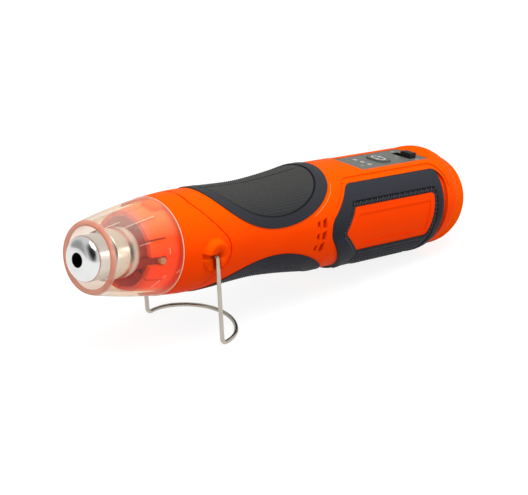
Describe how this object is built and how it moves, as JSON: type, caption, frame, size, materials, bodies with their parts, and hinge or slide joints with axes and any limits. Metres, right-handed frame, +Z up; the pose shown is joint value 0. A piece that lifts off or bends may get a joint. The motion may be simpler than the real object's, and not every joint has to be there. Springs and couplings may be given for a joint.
{
  "type": "embossing heat tool",
  "caption": "Cordless hot-air craft tool: clear heat shield round a steel nozzle, orange two-part housing with rubber grips, control panel on top and a folding wire stand.",
  "frame": {"origin": "centre of the footprint on the tabletop, with the tool standing on its wire stand and the bottom of its tail", "axes": "+X from the heat shield's mouth to the tail, along the longest side; +Z up; +Y to the right of someone who holds the tool and looks along its nose"},
  "size_m": [0.2608, 0.0536, 0.0694],
  "materials": {
    "clear_shield": "clear moulded plastic with a faint peach tint, smooth",
    "orange_shell": "bright orange moulded plastic, fine satin",
    "orange_cap": "orange moulded plastic, slightly lighter and glossier",
    "grip_rubber": "dark blue-grey soft rubber with small raised dots",
    "pad_rubber": "dark blue-grey soft rubber with a row of small chevrons",
    "inset_plastic": "orange moulded plastic, satin, with a raised border",
    "panel_plastic": "grey moulded plastic, fine matt",
    "button_plastic": "grey soft-touch plastic",
    "knob_plastic": "black plastic, ribbed on top",
    "switch_steel": "pressed tinplate",
    "black_parts": "black moulded plastic",
    "lamp_lens": "milky light guides",
    "board_green": "green circuit board",
    "nozzle_steel": "polished stainless steel",
    "mica": "mica sheet, pale brown",
    "coil_wire": "oxidised heating wire",
    "ceramic": "cream heat-proof ceramic",
    "motor_steel": "plated steel can",
    "cell_sleeve": "blue shrink sleeve",
    "nickel": "nickel strip",
    "screw_steel": "blackened steel",
    "stand_wire": "nickel-plated steel wire, satin"
  },
  "bodies": {
    "body": {"heat_shield": "clear_shield", "nose_collar": "orange_shell", "left_housing": "orange_shell", "right_housing": "orange_shell", "rear_cap": "orange_cap", "upper_grip_left": "grip_rubber", "upper_grip_right": "grip_rubber", "lower_grip_left": "grip_rubber", "lower_grip_right": "grip_rubber", "side_pad_left": "pad_rubber", "side_pad_right": "pad_rubber", "side_inset_left": "inset_plastic", "side_inset_right": "inset_plastic", "control_panel": "panel_plastic", "slide_switch": "switch_steel", "button_switch": "black_parts", "indicator_lamps": "lamp_lens", "control_board": "board_green", "charging_socket": "switch_steel", "nozzle": "nozzle_steel", "heater_can": "nozzle_steel", "can_stays": "nozzle_steel", "mica_tube": "mica", "mica_former": "mica", "heating_coil": "coil_wire", "heater_holder": "ceramic", "motor": "motor_steel", "motor_mount": "black_parts", "battery_cells": "cell_sleeve", "cell_links": "nickel", "battery_cradle": "black_parts", "housing_screws": "screw_steel"},
    "stand": {"wire_stand": "stand_wire"},
    "button": {"push_button": "button_plastic"},
    "knob": {"switch_knob": "knob_plastic"},
    "rotor": {"fan": "black_parts"}
  },
  "joints": [
    {"name": "stand_fold", "type": "hinge", "parent": "body", "child": "stand", "pos_m": [-0.06877, 0, 0.04481], "axis": [0, 1, 0], "range_deg": [0, 102]},
    {"name": "button_press", "type": "slide", "parent": "body", "child": "button", "axis": [-0.1063, 0, -0.9943], "range_m": [0, 0.0006], "stiffness_N_per_m": 1200},
    {"name": "knob_slide", "type": "slide", "parent": "body", "child": "knob", "axis": [0, 1, 0], "range_m": [0, 0.0056]},
    {"name": "fan_spin", "type": "hinge", "parent": "body", "child": "rotor", "pos_m": [-0.03123, 0, 0.0413], "axis": [0.9943, 0, -0.1063], "continuous": true}
  ]
}
